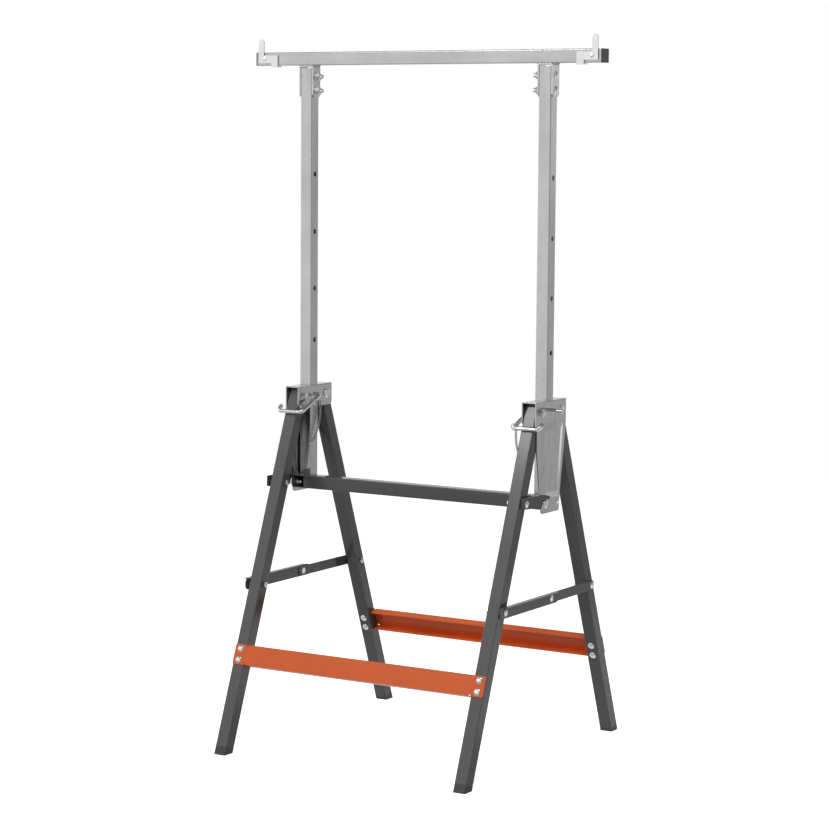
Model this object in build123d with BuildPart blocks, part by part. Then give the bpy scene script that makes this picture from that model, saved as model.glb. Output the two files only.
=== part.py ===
"""Builders trestle: a folding A-frame stand with a beam on two telescopic posts.

X runs along the beam, left to right, -Y is the front and +Z is up.
The origin lies on the floor, under the middle of the beam. Lengths are in millimetres.
"""
from build123d import *
import os
from math import cos, radians, sin

os.makedirs("parts", exist_ok=True)

# Whole trestle
beam_top_z = 1300.0
beam_length = 738.0
beam_overhang = 112.0
leg_angle = 20.7
head_bolt_y = 38.0
head_bolt_z = 648.0

# Square tube of beam, posts, legs and crossbar
tube_width = 25.0
tube_wall = 1.5
tube_corner = 2.0

# Fits
running_clearance = 0.05
thread_clearance = 0.05
bolt_clearance = 0.15
side_clearance = 0.3
cut_margin = 1.0

# Plastic beam caps
cap_flange = 3.0
cap_plug_length = 12.0
cap_plug_wall = 1.8
cap_plug_corner = 1.0
cap_plug_clearance = 0.15
cap_edge_radius = 0.8

# Saddles that join beam and posts
saddle_sheet = 3.0
saddle_height = 60.0
saddle_depth = 25.0
saddle_side_clearance = 0.15
saddle_bend_radius = 3.5
saddle_chamfer = 5.0
saddle_bolt_drops = (21.5, 48.0)
saddle_washer_diameter = 17.0
saddle_thread_end = 6.4
weld_leg = 3.0
weld_length = 20.0

# Posts and their height detents
post_top_gap = 2.0
post_bottom_drop = 178.0
detent_hole_diameter = 9.5
detent_rises = (0.0, 105.0, 204.0, 312.0, 421.0)

# Fold-down end stops on the front of the beam
stop_sheet = 2.5
stop_rivet_inset = 17.0
stop_rivet_drop = 12.0
stop_rivet_diameter = 5.0
stop_rivet_head_diameter = 8.0
stop_rivet_head_height = 1.6
stop_rivet_tail = 1.2
stop_finger_offset = 0.5
stop_finger_width = 11.5
stop_finger_reach = 40.0
stop_tip_height = 8.0
stop_tip_radius = 3.0
stop_shoulder_radius = 4.0
stop_corner_radius = 3.0
stop_arm_top = 6.5
stop_arm_bottom = 8.0
stop_arm_length = 31.0
stop_end_width = 15.0
stop_flange_length = 14.0

# Head brackets
bracket_sheet = 2.0
bracket_half_depth = 57.5
bracket_top_rise = 19.3
bracket_inner_height = 41.8
bracket_outer_height = 45.3
bracket_corner_radius = 8.0
bracket_bend_radius = 1.8
post_slot_depth = 27.5
plate_waist_front = 40.0
plate_waist_rear = 37.5
plate_waist_drop = 150.0
plate_ledge_depth = 52.6
plate_ledge_top_drop = 34.0
plate_ledge_bottom_drop = 70.0
lug_half_depth = 34.0
lug_bottom_drop = 186.0
lug_corner_radius = 6.0
relief_height = 2.0
relief_flank = 12.0
relief_top_drop = 36.0
relief_bottom_drop = 147.0
relief_top_front = 27.0
relief_top_rear = 34.0
relief_bottom_front = 20.0
relief_bottom_rear = 20.5
relief_arch = 5.0

# Head bolts that the legs turn on
head_bolt_diameter = 8.0
head_bolt_head_height = 5.5
head_dome_diameter = 17.0
head_dome_height = 4.0
head_dome_round = 2.4
head_thread_end = 1.5

# Pins that hold the posts
pin_diameter = 8.0
pin_rise = 1.0
pin_hole_clearance = 0.1
pin_arm_inset = 27.0
pin_tip_outset = 39.0
pin_return_outset = 26.8
pin_bend_radius = 9.0
pin_rest_along = 35.8
pin_rest_clearance = 0.3
pin_return_run = 12.4
pin_return_rise = 8.6
pin_post_clearance = 0.2
pin_tip_chamfer = 1.0

# Crossbar
crossbar_y = -26.0
crossbar_drop = 164.5
crossbar_end_plate = 2.5
crossbar_window_length = 24.0
crossbar_tab_sheet = 2.5
crossbar_tab_inset = 14.7
crossbar_tab_depth = 18.0
crossbar_tab_height = 11.0

# Studs that the hooks lock on
stud_drop = 167.5
stud_shoulder_diameter = 15.5
stud_dome_height = 2.8
stud_dome_round = 2.52
stud_diameter = 8.0
stud_tail = 14.0
lug_rivet_y = 28.6
lug_rivet_drop = 168.4
lug_rivet_diameter = 5.0
lug_rivet_head_diameter = 9.5
lug_rivet_head_height = 2.4

# Locking hooks
hook_sheet = 2.2
hook_gap = 0.8
hook_along = 170.5
hook_front_reach = 15.0
hook_rear_reach = 89.0
hook_upper_rise = 12.2
hook_lower_drop = 8.0
hook_notch_depth = 13.0
hook_notch_flare = 6.0
hook_lobe_height = 5.0
hook_crest = 3.5
hook_belly = 2.0
hook_corner_radius = 3.0
hook_spacer_diameter = 12.0

# Small bolts of the frames
small_bolt_diameter = 6.0
small_dome_diameter = 13.0
small_dome_height = 3.2
small_nut_flats = 10.0
small_nut_height = 5.0
small_thread_end = 2.0

# Forms that all bolts and nuts share
dome_rim = 0.8
bolt_tip_share = 0.1
nut_corner_share = 0.8

# Medium bolts of saddles, head and studs
medium_nut_flats = 13.0
medium_nut_height = 6.5
medium_dome_diameter = 15.0
medium_dome_height = 3.6
medium_washer_thickness = 1.5

# Folding stays between front and rear legs
stay_along = 369.3
stay_elbow_y = 4.0
stay_sheet = 2.0
stay_height_per_end_radius = 2.6
stay_front_height = 21.0
stay_rear_height = 18.6
stay_front_end = 18.0
stay_front_tip = 26.0
stay_rear_end = 9.3
stay_rear_tip = 14.0
stay_flange_width = 8.0
stay_washer = 1.5
stay_rivet_diameter = 6.0
stay_rivet_head_diameter = 12.0
stay_rivet_head_height = 1.8
stay_rivet_tail_height = 1.0

# Rails across the legs
rail_along = 507.2
rail_web = 38.5
rail_sheet = 1.5
rail_end_inset = 0.2
rail_flange_depth = 18.0
rail_flange_gap = 0.4
rail_corner_radius = 3.0
rail_bolt_spacing = 21.0
rail_relief_diameter = 4.0

# Foot caps
leg_top_overhang = 11.0
foot_cut_height = 11.0
foot_plug_length = 18.0
foot_plug_wall = 2.0

# Safety chains of the pins: links, ring on the bail and eye on the bracket
chain_wire = 1.3
chain_link_length = 8.4
chain_link_width = 5.0
chain_link_slack = 0.8
chain_anchor_y = 14.0
chain_anchor_drop = 15.0
anchor_eye_radius = 1.8
anchor_eye_root = 0.5
ring_wire = 1.8
ring_diameter = 17.0
ring_slack = 0.3
chain_hangs = {"left": (0.4, -14.0, 88.0), "right": (0.9, -26.0, 82.0)}

leg_sin = sin(radians(leg_angle))
leg_cos = cos(radians(leg_angle))
half_tube = tube_width / 2
hands = {"left": -1, "right": 1}

# Where the layers of each side lie, measured outwards from the middle plane X = 0
frame_half_spacing = beam_length / 2 - beam_overhang
leg_inner_x = frame_half_spacing - half_tube
leg_outer_x = frame_half_spacing + half_tube
plate_inner_x = leg_inner_x - side_clearance
plate_outer_x = leg_outer_x + side_clearance
bracket_inner_x = plate_inner_x - bracket_sheet
bracket_outer_x = plate_outer_x + bracket_sheet
hook_inner_x = bracket_outer_x + relief_height + hook_gap
hook_outer_x = hook_inner_x + hook_sheet
stay_rear_x = leg_outer_x + stay_washer
stay_front_x = stay_rear_x + stay_sheet + side_clearance
stay_outer_x = stay_front_x + stay_sheet
saddle_inner_x = leg_inner_x - saddle_side_clearance - saddle_sheet
saddle_outer_x = leg_outer_x + saddle_side_clearance + saddle_sheet
pin_arm_x = frame_half_spacing - pin_arm_inset
pin_tip_x = frame_half_spacing + pin_tip_outset
pin_return_x = frame_half_spacing + pin_return_outset
stop_rivet_x = beam_length / 2 - stop_rivet_inset
rail_half_length = leg_outer_x - rail_end_inset
crossbar_tab_x = frame_half_spacing - crossbar_tab_inset
chain_anchor_x = bracket_inner_x - anchor_eye_radius - chain_wire + anchor_eye_root

# Heights that follow from the above
beam_axis_z = beam_top_z - half_tube
beam_bottom_z = beam_top_z - tube_width
post_top_z = beam_bottom_z - saddle_sheet - post_top_gap
saddle_bolt_heights = [beam_bottom_z - drop for drop in saddle_bolt_drops]
bracket_top_z = head_bolt_z + bracket_top_rise
stop_rivet_z = beam_top_z - stop_rivet_drop
post_bottom_z = head_bolt_z - post_bottom_drop
pin_z = head_bolt_z + pin_rise
crossbar_z = head_bolt_z - crossbar_drop
stud_z = head_bolt_z - stud_drop
lug_rivet_z = head_bolt_z - lug_rivet_drop
chain_anchor_z = head_bolt_z - chain_anchor_drop


def leg_point(side, along, outward=0.0):
    """Y and Z on a leg (side -1 front, 1 rear), below its head bolt and out from its axis."""
    y = side * (head_bolt_y + along * leg_sin + outward * leg_cos)
    z = head_bolt_z - along * leg_cos + outward * leg_sin
    return y, z


def across_leg(side, x, along):
    """Plane square to a leg, its normal pointing down the leg and its +Y outwards."""
    y, z = leg_point(side, along)
    return Plane(origin=(x, y, z), x_dir=(-side, 0, 0), z_dir=(0, side * leg_sin, -leg_cos))


def on_leg_face(side, x, along, outward, facing=1):
    """Plane parallel to a leg's outer face, its normal pointing out, or in for facing -1."""
    y, z = leg_point(side, along, outward)
    return Plane(origin=(x, y, z), x_dir=(1, 0, 0), z_dir=(0, facing * side * leg_cos, facing * leg_sin))


def facing_out(hand, x, y, z):
    """Seat plane at a distance x from the middle, its normal pointing away from the middle."""
    return Plane(origin=(hand * x, y, z), x_dir=(0, 1, 0), z_dir=(hand, 0, 0))


def facing_in(hand, x, y, z):
    """Seat plane at a distance x from the middle, its normal pointing towards the middle."""
    return Plane(origin=(hand * x, y, z), x_dir=(0, 1, 0), z_dir=(-hand, 0, 0))


def side_view(hand, x):
    """Plane of a side view at a distance x from the middle: its X is world Y, its Y is world Z."""
    return Plane.YZ.offset(hand * x)


def nearest(sketch, *points):
    """Corners of a sketch that lie nearest to the given points."""
    return [sketch.vertices().sort_by_distance(point)[0] for point in points]


def save(piece, name):
    """Label a finished piece and write it."""
    piece.part.label = name
    export_step(piece.part, f"parts/{name}.step")


def save_group(solid, planes, name):
    """Write copies of one fastener, one on each plane, as a node of separate solids."""
    with BuildPart() as copies:
        with Locations(*[plane.location for plane in planes]):
            add(solid)
    save(copies, name)


def square_tube(plane, length):
    """Square tube with rounded corners, its end on the plane."""
    with BuildPart() as tube:
        with BuildSketch(plane):
            RectangleRounded(tube_width, tube_width, tube_corner)
            bore = tube_width - 2 * tube_wall
            RectangleRounded(bore, bore, tube_corner - tube_wall, mode=Mode.SUBTRACT)
        extrude(amount=length)
    return tube.part


def dome_bolt(diameter, length, dome_diameter, dome_height):
    """Round-headed bolt: the head seated on Z = 0 and rising along +Z, the shank below."""
    radius = diameter / 2
    rise = dome_height - dome_rim
    crown = ((dome_diameter / 2) ** 2 + rise ** 2) / (2 * rise)
    middle = dome_diameter / 4
    middle_z = dome_height - crown + (crown ** 2 - middle ** 2) ** 0.5
    tip = diameter * bolt_tip_share
    with BuildPart() as bolt:
        with BuildSketch(Plane.XZ):
            with BuildLine():
                Polyline(
                    (0, dome_height), (0, -length), (radius - tip, -length), (radius, tip - length),
                    (radius, 0), (dome_diameter / 2, 0), (dome_diameter / 2, dome_rim),
                )
                ThreePointArc((dome_diameter / 2, dome_rim), (middle, middle_z), (0, dome_height))
            make_face()
        revolve(axis=Axis.Z)
    return bolt.part


def hex_nut(bolt_diameter, flats, height):
    """Hexagon nut standing on Z = 0, the corners of its upper face turned down."""
    corner = flats / 3 ** 0.5
    with BuildPart() as nut:
        with BuildSketch():
            RegularPolygon(flats / 2, 6, major_radius=False)
            Circle(bolt_diameter / 2 + thread_clearance, mode=Mode.SUBTRACT)
        extrude(amount=height)
        with BuildSketch(Plane.XZ):
            Polygon((0, 0), (corner, 0), (corner, height * nut_corner_share), (flats / 2, height),
                    (0, height), align=None)
        revolve(axis=Axis.Z, mode=Mode.INTERSECT)
    return nut.part


def hex_bolt(diameter, length, flats, head_height):
    """Hexagon bolt: the head seated on Z = 0 and rising along +Z, the shank below."""
    with BuildPart() as bolt:
        with BuildSketch():
            RegularPolygon(flats / 2, 6, major_radius=False)
        extrude(amount=head_height)
        with BuildSketch():
            Circle(diameter / 2)
        extrude(amount=-length)
        chamfer(bolt.edges().group_by(Axis.Z)[0], diameter * bolt_tip_share)
    return bolt.part


def ring_washer(bore_diameter, outer_diameter, thickness):
    """Round washer or spacer standing on Z = 0."""
    with BuildPart() as washer:
        with BuildSketch():
            Circle(outer_diameter / 2)
            Circle(bore_diameter / 2, mode=Mode.SUBTRACT)
        extrude(amount=thickness)
    return washer.part


def make_beam():
    """Top beam, with a hole in its front wall for each stop's rivet."""
    with BuildPart() as beam:
        add(square_tube(Plane(origin=(-beam_length / 2, 0, beam_axis_z), z_dir=(1, 0, 0)), beam_length))
        with BuildSketch(Plane.XZ.offset(half_tube)):
            with Locations((-stop_rivet_x, stop_rivet_z), (stop_rivet_x, stop_rivet_z)):
                Circle(stop_rivet_diameter / 2 + running_clearance)
        extrude(amount=-2 * tube_wall, mode=Mode.SUBTRACT)
    save(beam, "beam")


def make_beam_cap(hand, name):
    """Plastic end cap with a hollow plug that goes into the beam."""
    plug = tube_width - 2 * tube_wall - 2 * cap_plug_clearance
    end = facing_out(hand, beam_length / 2, 0, beam_axis_z)
    with BuildPart() as cap:
        with BuildSketch(end):
            RectangleRounded(tube_width, tube_width, tube_corner)
        extrude(amount=cap_flange)
        fillet(cap.faces().sort_by(Axis.X)[-1 if hand > 0 else 0].edges(), cap_edge_radius)
        with BuildSketch(end):
            RectangleRounded(plug, plug, cap_plug_corner)
            Rectangle(plug - 2 * cap_plug_wall, plug - 2 * cap_plug_wall, mode=Mode.SUBTRACT)
        extrude(amount=-cap_plug_length)
    save(cap, name)


def make_saddle(hand, name):
    """Upside-down U of flat bar, welded under the beam and bolted over a post."""
    inner_width = tube_width + 2 * saddle_side_clearance
    with BuildPart() as saddle:
        view = Plane(origin=(hand * frame_half_spacing, 0, beam_bottom_z), x_dir=(1, 0, 0), z_dir=(0, -1, 0))
        with BuildSketch(view):
            with Locations((0, -saddle_height / 2)):
                Rectangle(inner_width + 2 * saddle_sheet, saddle_height)
            with Locations((0, -saddle_sheet - saddle_height / 2)):
                Rectangle(inner_width, saddle_height, mode=Mode.SUBTRACT)
        extrude(amount=saddle_depth / 2, both=True)
        top_edges = saddle.edges().filter_by(Axis.Y).group_by(Axis.Z)[-1]
        fillet(top_edges, saddle_bend_radius)
        chamfer(saddle.edges().filter_by(Axis.X).group_by(Axis.Z)[0], saddle_chamfer)
        with BuildSketch(side_view(hand, saddle_inner_x - cut_margin)):
            with Locations(*[(0, z) for z in saddle_bolt_heights]):
                Circle(head_bolt_diameter / 2 + bolt_clearance)
        extrude(amount=hand * (saddle_outer_x - saddle_inner_x + 2 * cut_margin), mode=Mode.SUBTRACT)
    save(saddle, name)


def make_saddle_welds():
    """Fillet welds along the bends of both saddles, under the beam."""
    with BuildPart() as welds:
        for hand in hands.values():
            for edge_x, away in ((saddle_outer_x, 1), (saddle_inner_x, -1)):
                bend_x = edge_x - away * saddle_bend_radius
                with BuildSketch(Plane.XZ):
                    with BuildLine():
                        Polyline(
                            (hand * bend_x, beam_bottom_z),
                            (hand * (edge_x + away * weld_leg), beam_bottom_z),
                            (hand * edge_x, beam_bottom_z - weld_leg),
                            (hand * edge_x, beam_bottom_z - saddle_bend_radius),
                        )
                        turn = radians(45)
                        ThreePointArc(
                            (hand * edge_x, beam_bottom_z - saddle_bend_radius),
                            (hand * (bend_x + away * saddle_bend_radius * sin(turn)),
                             beam_bottom_z - saddle_bend_radius * (1 - cos(turn))),
                            (hand * bend_x, beam_bottom_z),
                        )
                    make_face()
                extrude(amount=weld_length / 2, both=True)
    save(welds, "saddle_welds")


def make_saddle_fasteners():
    """Bolts through saddles and posts, with a washer and a nut on the inner side."""
    washer_x = saddle_inner_x - medium_washer_thickness
    nut_x = washer_x - medium_nut_height
    bolt_length = saddle_outer_x - nut_x + saddle_thread_end
    bolt = dome_bolt(head_bolt_diameter, bolt_length, medium_dome_diameter, medium_dome_height)
    washer = ring_washer(head_bolt_diameter + 2 * bolt_clearance, saddle_washer_diameter,
                         medium_washer_thickness)
    nut = hex_nut(head_bolt_diameter, medium_nut_flats, medium_nut_height)
    places = [(hand, z) for hand in hands.values() for z in saddle_bolt_heights]
    save_group(bolt, [facing_out(hand, saddle_outer_x, 0, z) for hand, z in places], "saddle_bolts")
    save_group(washer, [facing_in(hand, saddle_inner_x, 0, z) for hand, z in places], "saddle_washers")
    save_group(nut, [facing_in(hand, washer_x, 0, z) for hand, z in places], "saddle_nuts")


def make_post(hand, name):
    """Telescopic post with its row of height holes and its two saddle bolt holes."""
    foot = Plane(origin=(hand * frame_half_spacing, 0, post_bottom_z))
    with BuildPart() as post:
        add(square_tube(foot, post_top_z - post_bottom_z))
        with BuildSketch(side_view(hand, leg_inner_x - cut_margin)):
            with Locations(*[(0, pin_z + rise) for rise in detent_rises]):
                Circle(detent_hole_diameter / 2)
            with Locations(*[(0, z) for z in saddle_bolt_heights]):
                Circle(head_bolt_diameter / 2 + bolt_clearance)
        extrude(amount=hand * (tube_width + 2 * cut_margin), mode=Mode.SUBTRACT)
    save(post, name)


def make_stop(hand, name):
    """End stop: an upright finger, an arm along the beam and a flange hooked under the beam."""
    finger_inner = stop_rivet_x + stop_finger_offset
    finger_outer = finger_inner + stop_finger_width
    finger_middle = (finger_inner + finger_outer) / 2
    tip_z = stop_rivet_z + stop_finger_reach
    arm_end = stop_rivet_x - stop_arm_length
    step_x = arm_end + stop_end_width
    arm_top = stop_rivet_z + stop_arm_top
    arm_bottom = stop_rivet_z - stop_arm_bottom
    flange_top = beam_bottom_z - side_clearance
    outline = [
        (finger_outer, arm_bottom), (finger_outer, tip_z - stop_tip_height), (finger_middle, tip_z),
        (finger_inner, tip_z - stop_tip_height), (finger_inner, arm_top), (arm_end, arm_top),
        (arm_end, flange_top - stop_sheet), (step_x, flange_top - stop_sheet), (step_x, arm_bottom),
    ]
    with BuildPart() as stop:
        with BuildSketch(Plane.XZ.offset(half_tube)) as plate:
            Polygon(*[(hand * x, z) for x, z in outline], align=None)
            fillet(nearest(plate, (hand * finger_middle, tip_z)), stop_tip_radius)
            shoulders = [(hand * x, tip_z - stop_tip_height) for x in (finger_inner, finger_outer)]
            fillet(nearest(plate, *shoulders), stop_shoulder_radius)
            fillet(nearest(plate, (hand * finger_outer, arm_bottom)), stop_corner_radius)
            with Locations((hand * stop_rivet_x, stop_rivet_z)):
                Circle(stop_rivet_diameter / 2 + running_clearance, mode=Mode.SUBTRACT)
        extrude(amount=stop_sheet)
        with BuildSketch(Plane.XY.offset(flange_top)):
            with Locations((hand * (arm_end + step_x) / 2, stop_flange_length / 2 - half_tube - stop_sheet)):
                Rectangle(stop_end_width, stop_flange_length)
        extrude(amount=-stop_sheet)
    save(stop, name)


def make_stop_rivets():
    """Rivets that the stops turn on, headed on both sides of stop and beam wall."""
    length = stop_sheet + tube_wall
    with BuildPart() as rivet:
        add(dome_bolt(stop_rivet_diameter, length, stop_rivet_head_diameter, stop_rivet_head_height))
        with BuildSketch(Plane.XY.offset(-length)):
            Circle(stop_rivet_head_diameter / 2)
        extrude(amount=-stop_rivet_tail)
    planes = [
        Plane(origin=(hand * stop_rivet_x, -half_tube - stop_sheet, stop_rivet_z), z_dir=(0, -1, 0))
        for hand in hands.values()
    ]
    save_group(rivet.part, planes, "stop_rivets")


def relief_outline(hand, x, grow):
    """Outline of the pressed panel in an outer plate, arched at its top."""
    top_z = head_bolt_z - relief_top_drop + grow
    bottom_z = head_bolt_z - relief_bottom_drop - grow
    front_top = (-relief_top_front - grow, top_z)
    rear_top = (relief_top_rear + grow, top_z)
    middle_y = (relief_top_rear - relief_top_front) / 2
    with BuildSketch(side_view(hand, x)) as outline:
        with BuildLine():
            Polyline(rear_top, (relief_bottom_rear + grow, bottom_z),
                     (-relief_bottom_front - grow, bottom_z), front_top)
            ThreePointArc(front_top, (middle_y, top_z + relief_arch), rear_top)
        make_face()
    return outline.sketch


def make_head_bracket(hand, name):
    """Pressed channel over the legs' tops; its outer plate reaches down to the crossbar."""
    top_z = bracket_top_z
    waist_z = head_bolt_z - plate_waist_drop
    lug_z = head_bolt_z - lug_bottom_drop
    shoulder_z = top_z - bracket_outer_height
    half_depth = bracket_half_depth
    outer_outline = [
        (-half_depth, top_z), (half_depth, top_z), (half_depth, shoulder_z),
        (plate_waist_rear, waist_z), (lug_half_depth, lug_z), (-lug_half_depth, lug_z),
        (-lug_half_depth, waist_z - bracket_corner_radius), (-plate_waist_front, waist_z),
        (-plate_ledge_depth, head_bolt_z - plate_ledge_bottom_drop),
        (-plate_ledge_depth, head_bolt_z - plate_ledge_top_drop), (-half_depth, shoulder_z),
    ]
    bolt_hole = head_bolt_diameter / 2 + bolt_clearance
    with BuildPart() as bracket:
        with BuildSketch(side_view(hand, plate_outer_x)) as outer_plate:
            Polygon(*outer_outline, align=None)
            fillet(nearest(outer_plate, (-lug_half_depth, lug_z)), lug_corner_radius)
        extrude(amount=hand * bracket_sheet)
        with BuildSketch(side_view(hand, bracket_inner_x)) as inner_plate:
            with Locations((0, top_z - bracket_inner_height / 2)):
                Rectangle(2 * half_depth, bracket_inner_height)
            fillet(inner_plate.vertices().group_by(Axis.Y)[0], bracket_corner_radius)
        extrude(amount=hand * bracket_sheet)
        with BuildSketch(Plane.XY.offset(top_z)):
            with Locations((hand * frame_half_spacing, 0)):
                Rectangle(bracket_outer_x - bracket_inner_x, 2 * half_depth)
                Rectangle(plate_outer_x - plate_inner_x, post_slot_depth, mode=Mode.SUBTRACT)
        extrude(amount=-bracket_sheet)
        bends = bracket.edges().filter_by(Axis.Y).group_by(Axis.Z)[-1].sort_by(Axis.X)
        fillet([bends[0], bends[-1]], bracket_bend_radius)
        loft([relief_outline(hand, bracket_outer_x, relief_flank),
              relief_outline(hand, bracket_outer_x + relief_height, 0)])
        loft([relief_outline(hand, plate_outer_x, relief_flank),
              relief_outline(hand, plate_outer_x + relief_height, 0)], mode=Mode.SUBTRACT)
        with BuildSketch(side_view(hand, bracket_inner_x - cut_margin)):
            with Locations((-head_bolt_y, head_bolt_z), (head_bolt_y, head_bolt_z)):
                Circle(bolt_hole)
            with Locations((0, pin_z)):
                Circle(pin_diameter / 2 + pin_hole_clearance)
        extrude(amount=hand * (bracket_outer_x - bracket_inner_x + 2 * cut_margin), mode=Mode.SUBTRACT)
        with BuildSketch(side_view(hand, plate_outer_x - cut_margin)):
            with Locations((crossbar_y, stud_z)):
                Circle(stud_diameter / 2 + bolt_clearance)
            with Locations((lug_rivet_y, lug_rivet_z)):
                Circle(lug_rivet_diameter / 2 + running_clearance)
        extrude(amount=hand * (bracket_sheet + 2 * cut_margin), mode=Mode.SUBTRACT)
        with BuildSketch(Plane.XZ.offset(-chain_anchor_y)):
            with Locations((hand * chain_anchor_x, chain_anchor_z)):
                Circle(anchor_eye_radius + chain_wire)
                Circle(anchor_eye_radius, mode=Mode.SUBTRACT)
        extrude(amount=ring_wire / 2, both=True)
    save(bracket, name)


def make_head_bolts():
    """Bolts that the legs turn on: nutted at the front, domed on both ends at the rear."""
    span = bracket_outer_x - bracket_inner_x
    front = hex_bolt(head_bolt_diameter, span + medium_nut_height + head_thread_end,
                     medium_nut_flats, head_bolt_head_height)
    nut = hex_nut(head_bolt_diameter, medium_nut_flats, medium_nut_height)
    with BuildPart() as rear:
        add(dome_bolt(head_bolt_diameter, span, head_dome_diameter, head_dome_height))
        with BuildSketch(Plane.XY.offset(-span)):
            Circle(head_dome_diameter / 2)
        extrude(amount=-head_dome_height)
        fillet(rear.edges().group_by(Axis.Z)[0], head_dome_round)
    front_planes = [facing_in(hand, bracket_inner_x, -head_bolt_y, head_bolt_z) for hand in hands.values()]
    rear_planes = [facing_out(hand, bracket_outer_x, head_bolt_y, head_bolt_z) for hand in hands.values()]
    nut_planes = [facing_out(hand, bracket_outer_x, -head_bolt_y, head_bolt_z) for hand in hands.values()]
    save_group(front, front_planes, "head_bolts_front")
    save_group(rear.part, rear_planes, "head_bolts_rear")
    save_group(nut, nut_planes, "head_nuts_front")


def make_crossbar():
    """Tube between the brackets: end plates that the studs pass through, a stop tab on the left."""
    end_x = plate_outer_x
    start = Plane(origin=(-end_x, crossbar_y, crossbar_z), z_dir=(1, 0, 0))
    window_x = end_x - crossbar_end_plate - crossbar_window_length / 2
    tab_bottom = crossbar_z + half_tube
    with BuildPart() as crossbar:
        add(square_tube(start, 2 * end_x))
        for hand in hands.values():
            with BuildSketch(facing_in(hand, end_x, crossbar_y, crossbar_z)):
                Rectangle(tube_width - tube_wall, tube_width - tube_wall)
            extrude(amount=crossbar_end_plate)
        with BuildSketch(side_view(-1, crossbar_tab_x)):
            with Locations((crossbar_y, tab_bottom + crossbar_tab_height / 2 - tube_wall / 2)):
                Rectangle(crossbar_tab_depth, crossbar_tab_height + tube_wall)
        extrude(amount=-crossbar_tab_sheet)
        with BuildSketch(Plane.XZ.offset(half_tube - crossbar_y)):
            with Locations((-window_x, crossbar_z), (window_x, crossbar_z)):
                Rectangle(crossbar_window_length, tube_width - 2 * tube_wall)
        extrude(amount=-2 * tube_wall, mode=Mode.SUBTRACT)
        with BuildSketch(Plane.YZ.offset(-end_x)):
            with Locations((crossbar_y, stud_z)):
                Circle(stud_diameter / 2 + bolt_clearance)
        extrude(amount=2 * end_x, mode=Mode.SUBTRACT)
    save(crossbar, "crossbar")


def make_lock_studs():
    """Shouldered studs for the hooks, their nuts inside the crossbar, and the lug rivets."""
    nut_x = plate_outer_x - crossbar_end_plate
    with BuildPart() as stud:
        with BuildSketch():
            Circle(stud_shoulder_diameter / 2)
        extrude(amount=hook_outer_x - bracket_outer_x + stud_dome_height)
        fillet(stud.edges().group_by(Axis.Z)[-1], stud_dome_round)
        with BuildSketch():
            Circle(stud_diameter / 2)
        extrude(amount=nut_x - bracket_outer_x - stud_tail)
        chamfer(stud.edges().group_by(Axis.Z)[0], stud_diameter * bolt_tip_share)
    nut = hex_nut(stud_diameter, medium_nut_flats, medium_nut_height)
    with BuildPart() as rivet:
        add(dome_bolt(lug_rivet_diameter, bracket_sheet, lug_rivet_head_diameter, lug_rivet_head_height))
    signs = hands.values()
    stud_planes = [facing_out(hand, bracket_outer_x, crossbar_y, stud_z) for hand in signs]
    save_group(stud.part, stud_planes, "hook_studs")
    save_group(nut, [facing_in(hand, nut_x, crossbar_y, stud_z) for hand in signs], "hook_stud_nuts")
    rivet_planes = [facing_out(hand, bracket_outer_x, lug_rivet_y, lug_rivet_z) for hand in signs]
    save_group(rivet.part, rivet_planes, "lug_rivets")


def make_leg(hand, side, name):
    """Leg tube with its head bolt hole, stay hole, hook hole at the front, and rail holes."""
    x = hand * frame_half_spacing
    length = leg_top_overhang + (head_bolt_z - foot_cut_height) / leg_cos
    cross_holes = [(0.0, head_bolt_diameter / 2 + running_clearance),
                   (stay_along, small_bolt_diameter / 2 + bolt_clearance)]
    if side < 0:
        cross_holes.append((hook_along, small_bolt_diameter / 2 + bolt_clearance))
    with BuildPart() as leg:
        add(square_tube(across_leg(side, x, -leg_top_overhang), length))
        for along, radius in cross_holes:
            with BuildSketch(side_view(hand, leg_inner_x - cut_margin)):
                with Locations(leg_point(side, along)):
                    Circle(radius)
            extrude(amount=hand * (tube_width + 2 * cut_margin), mode=Mode.SUBTRACT)
        with BuildSketch(on_leg_face(side, x, rail_along, half_tube + cut_margin)):
            with Locations((0, -rail_bolt_spacing / 2), (0, rail_bolt_spacing / 2)):
                Circle(small_bolt_diameter / 2 + bolt_clearance)
        extrude(amount=-(tube_width + 2 * cut_margin), mode=Mode.SUBTRACT)
    save(leg, name)


def make_foot(hand, side, name):
    """Plastic foot that continues the leg, cut flat on the floor, with a plug up the tube."""
    x = hand * frame_half_spacing
    cut = (head_bolt_z - foot_cut_height) / leg_cos
    plug = tube_width - 2 * tube_wall - 2 * cap_plug_clearance
    with BuildPart() as foot:
        with BuildSketch(across_leg(side, x, cut)):
            RectangleRounded(tube_width, tube_width, tube_corner)
        extrude(amount=tube_width)
        split(bisect_by=Plane.XY, keep=Keep.TOP)
        with BuildSketch(across_leg(side, x, cut)):
            RectangleRounded(plug, plug, cap_plug_corner)
            Rectangle(plug - 2 * foot_plug_wall, plug - 2 * foot_plug_wall, mode=Mode.SUBTRACT)
        extrude(amount=-foot_plug_length)
    save(foot, name)


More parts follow.
